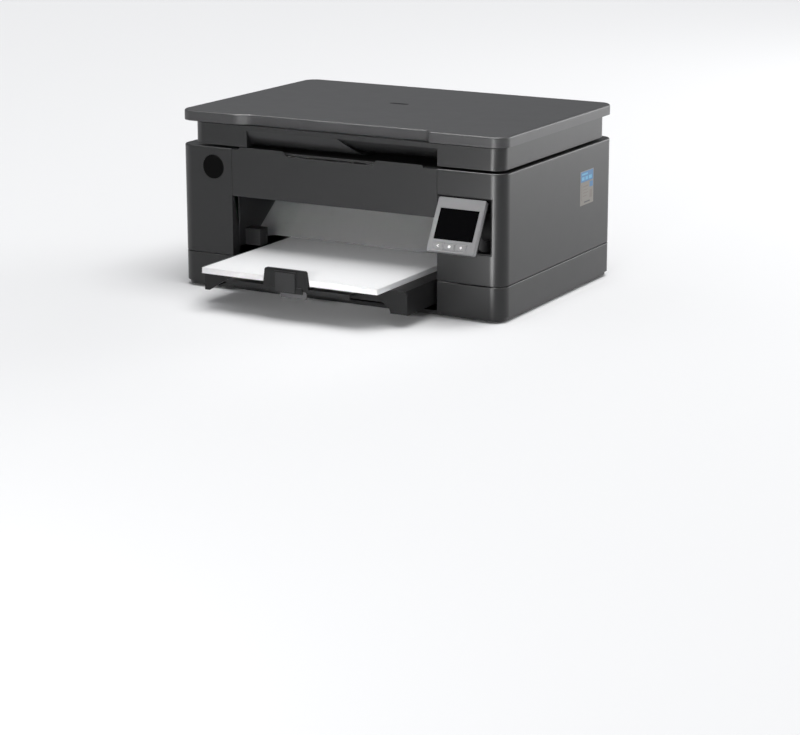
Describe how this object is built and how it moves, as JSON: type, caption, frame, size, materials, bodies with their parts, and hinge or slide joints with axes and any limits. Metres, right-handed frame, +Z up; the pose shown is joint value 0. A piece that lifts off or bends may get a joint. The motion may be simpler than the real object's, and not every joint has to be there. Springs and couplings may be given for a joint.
{
  "type": "inkjet printer",
  "caption": "Desktop inkjet printer with flatbed scanner: dark grey case, paper cassette with loaded sheets, tilting control panel, front door, ink carriage and paper drive inside.",
  "frame": {"origin": "under the middle of the whole object's box, on the surface it stands on", "axes": "+X to the object's right as seen from its front, +Y to the rear, +Z up"},
  "size_m": [0.392, 0.366, 0.1935],
  "materials": {
    "case_grey": "fine satin texture",
    "lid_grey": "fine satin texture",
    "badge_black": "gloss",
    "label": "matt printed film",
    "liner_black": "matt",
    "ramp_grey": "satin",
    "inner_black": "matt",
    "frame_black": "satin",
    "tray_black": "satin",
    "panel_grey": "satin",
    "key_grey": "satin",
    "screen_black": "gloss",
    "zinc_steel": "zinc plated",
    "polished_steel": "ground",
    "screw_steel": "black zinc",
    "star_steel": "bright",
    "belt_rubber": "matt",
    "foot_rubber": "matt",
    "roller_rubber": "matt",
    "pick_rubber": "matt",
    "cap_rubber": "matt",
    "feed_grit": "gritted",
    "brass": "machined",
    "gear_white": "acetal",
    "felt": "felt",
    "board_green": "solder mask",
    "socket_black": "satin",
    "scan_glass": "clear",
    "pad_white": "white foam film",
    "cartridge_black": "satin",
    "paper": "matt"
  },
  "bodies": {
    "printer_case": {"base_case": "case_grey", "body_shell": "case_grey", "front_badge": "badge_black", "side_label": "label", "panel_recess": "liner_black", "mouth_liner": "case_grey", "exit_ramp": "ramp_grey", "chassis": "zinc_steel", "guide_rail": "polished_steel", "platen": "inner_black", "uturn_guide": "inner_black", "feed_motor": "zinc_steel", "carriage_motor": "zinc_steel", "carriage_belt": "belt_rubber", "service_station": "inner_black", "waste_ink_pad": "felt", "main_board": "board_green", "power_supply": "zinc_steel", "power_inlet": "socket_black", "feet": "foot_rubber", "case_screws": "screw_steel", "pick_shaft": "polished_steel"},
    "scanner_unit": {"scanner_base": "case_grey", "scanner_frame": "frame_black", "scanner_glass": "scan_glass", "scan_rail": "polished_steel"},
    "scanner_lid": {"lid_cover": "lid_grey", "lid_pad": "pad_white", "lid_hinges": "inner_black"},
    "scan_bar": {"scan_bar": "inner_black"},
    "scan_pinion": {"scan_pinion": "gear_white"},
    "front_door": {"front_door": "case_grey"},
    "rear_door": {"rear_door": "case_grey"},
    "control_panel": {"panel_bezel": "panel_grey", "panel_screen": "screen_black", "panel_back": "case_grey"},
    "key_left": {"key_left": "key_grey"},
    "key_middle": {"key_middle": "key_grey"},
    "key_right": {"key_right": "key_grey"},
    "paper_tray": {"tray_bin": "tray_black", "paper_stack": "paper"},
    "tray_extension": {"tray_extension": "tray_black", "paper_stop": "tray_black"},
    "left_width_guide": {"left_width_guide": "tray_black"},
    "right_width_guide": {"right_width_guide": "tray_black"},
    "guide_pinion": {"guide_pinion": "gear_white"},
    "feed_roller": {"feed_roller": "feed_grit"},
    "exit_roller": {"exit_roller": "roller_rubber"},
    "idler_gear": {"idler_gear": "gear_white"},
    "motor_pinion": {"motor_pinion": "brass"},
    "pinch_rollers": {"pinch_rollers": "inner_black"},
    "star_wheels": {"star_wheels": "star_steel"},
    "pick_arm": {"pick_arm": "inner_black"},
    "pick_roller": {"pick_roller": "pick_rubber"},
    "carriage": {"carriage": "inner_black", "black_cartridge": "cartridge_black", "colour_cartridge": "cartridge_black"},
    "drive_pulley": {"drive_pulley": "gear_white"},
    "idler_pulley": {"idler_pulley": "gear_white"},
    "cap_sled": {"cap_sled": "cap_rubber"}
  },
  "joints": [
    {"name": "scanner_lift", "type": "hinge", "parent": "printer_case", "child": "scanner_unit", "pos_m": [0, 0.167, 0.16], "axis": [-1, 0, 0], "range_deg": [0, 30]},
    {"name": "lid_hinge", "type": "hinge", "parent": "scanner_unit", "child": "scanner_lid", "pos_m": [0, 0.171, 0.183], "axis": [-1, 0, 0], "range_deg": [0, 80]},
    {"name": "scan_travel", "type": "slide", "parent": "scanner_unit", "child": "scan_bar", "axis": [1, 0, 0], "range_m": [0, 0.272]},
    {"name": "scan_pinion_turn", "type": "hinge", "parent": "scan_bar", "child": "scan_pinion", "pos_m": [-0.129, 0.0552, 0.17], "axis": [0, 0, 1], "continuous": true},
    {"name": "front_door_hinge", "type": "hinge", "parent": "printer_case", "child": "front_door", "pos_m": [0, -0.082, 0.108], "axis": [1, 0, 0], "range_deg": [0, 85]},
    {"name": "rear_door_hinge", "type": "hinge", "parent": "printer_case", "child": "rear_door", "pos_m": [0, 0.181, 0.0645], "axis": [-1, 0, 0], "range_deg": [0, 70]},
    {"name": "panel_tilt", "type": "hinge", "parent": "printer_case", "child": "control_panel", "pos_m": [0.1496, -0.0852, 0.11197], "axis": [-1, 0, 0], "range_deg": [-21, 11]},
    {"name": "left_key_press", "type": "slide", "parent": "control_panel", "child": "key_left", "axis": [0, 0.8746, -0.4848], "range_m": [0, 0.0008], "stiffness_N_per_m": 400, "springref_m": -0.0005},
    {"name": "middle_key_press", "type": "slide", "parent": "control_panel", "child": "key_middle", "axis": [0, 0.8746, -0.4848], "range_m": [0, 0.0008], "stiffness_N_per_m": 400, "springref_m": -0.0005},
    {"name": "right_key_press", "type": "slide", "parent": "control_panel", "child": "key_right", "axis": [0, 0.8746, -0.4848], "range_m": [0, 0.0008], "stiffness_N_per_m": 400, "springref_m": -0.0005},
    {"name": "tray_slide", "type": "slide", "parent": "printer_case", "child": "paper_tray", "axis": [0, -1, 0], "range_m": [0, 0.15]},
    {"name": "extension_slide", "type": "slide", "parent": "paper_tray", "child": "tray_extension", "axis": [0, -1, 0], "range_m": [0, 0.045]},
    {"name": "left_guide_slide", "type": "slide", "parent": "paper_tray", "child": "left_width_guide", "axis": [-1, 0, 0], "range_m": [0, 0.01]},
    {"name": "right_guide_slide", "type": "slide", "parent": "paper_tray", "child": "right_width_guide", "axis": [1, 0, 0], "range_m": [0, 0.01]},
    {"name": "guide_pinion_turn", "type": "hinge", "parent": "paper_tray", "child": "guide_pinion", "pos_m": [-0.0048, 0.045, 0.035], "axis": [0, 0, 1], "range_deg": [0, 96]},
    {"name": "feed_roller_turn", "type": "hinge", "parent": "printer_case", "child": "feed_roller", "pos_m": [0, 0.099, 0.092], "axis": [1, 0, 0], "continuous": true},
    {"name": "exit_roller_turn", "type": "hinge", "parent": "printer_case", "child": "exit_roller", "pos_m": [0, 0.035, 0.092], "axis": [1, 0, 0], "continuous": true},
    {"name": "idler_gear_turn", "type": "hinge", "parent": "printer_case", "child": "idler_gear", "pos_m": [0, 0.067, 0.092], "axis": [1, 0, 0], "continuous": true},
    {"name": "motor_pinion_turn", "type": "hinge", "parent": "printer_case", "child": "motor_pinion", "pos_m": [0, 0.11456, 0.07644], "axis": [1, 0, 0], "continuous": true},
    {"name": "pinch_rollers_turn", "type": "hinge", "parent": "printer_case", "child": "pinch_rollers", "pos_m": [0, 0.1, 0.1023], "axis": [1, 0, 0], "continuous": true},
    {"name": "star_wheels_turn", "type": "hinge", "parent": "printer_case", "child": "star_wheels", "pos_m": [0, 0.035, 0.1033], "axis": [1, 0, 0], "continuous": true},
    {"name": "pick_arm_lift", "type": "hinge", "parent": "printer_case", "child": "pick_arm", "pos_m": [0, 0.05, 0.07], "axis": [1, 0, 0], "range_deg": [0, 10]},
    {"name": "pick_roller_turn", "type": "hinge", "parent": "pick_arm", "child": "pick_roller", "pos_m": [0, 0.087, 0.058], "axis": [1, 0, 0], "continuous": true},
    {"name": "carriage_travel", "type": "slide", "parent": "printer_case", "child": "carriage", "axis": [-1, 0, 0], "range_m": [0, 0.262]},
    {"name": "drive_pulley_turn", "type": "hinge", "parent": "printer_case", "child": "drive_pulley", "pos_m": [-0.165, 0.114, 0.138], "axis": [0, 1, 0], "continuous": true},
    {"name": "idler_pulley_turn", "type": "hinge", "parent": "printer_case", "child": "idler_pulley", "pos_m": [0.18, 0.114, 0.138], "axis": [0, 1, 0], "continuous": true},
    {"name": "cap_sled_drop", "type": "slide", "parent": "printer_case", "child": "cap_sled", "axis": [0, 0, -1], "range_m": [0, 0.004], "stiffness_N_per_m": 300, "springref_m": -0.004}
  ],
  "couplings": [
    {"joint": "scan_pinion_turn", "follows": "scan_travel", "rad_per_m": 208.33},
    {"joint": "right_guide_slide", "follows": "left_guide_slide", "ratio": 1},
    {"joint": "guide_pinion_turn", "follows": "left_guide_slide", "rad_per_m": 166.67},
    {"joint": "exit_roller_turn", "follows": "feed_roller_turn", "ratio": 1},
    {"joint": "idler_gear_turn", "follows": "feed_roller_turn", "ratio": -1},
    {"joint": "motor_pinion_turn", "follows": "feed_roller_turn", "ratio": -2.6667},
    {"joint": "pinch_rollers_turn", "follows": "feed_roller_turn", "ratio": -1.5},
    {"joint": "star_wheels_turn", "follows": "feed_roller_turn", "ratio": -1.2},
    {"joint": "pick_roller_turn", "follows": "feed_roller_turn", "ratio": 0.5},
    {"joint": "drive_pulley_turn", "follows": "carriage_travel", "rad_per_m": 166.67},
    {"joint": "idler_pulley_turn", "follows": "carriage_travel", "rad_per_m": 166.67}
  ]
}
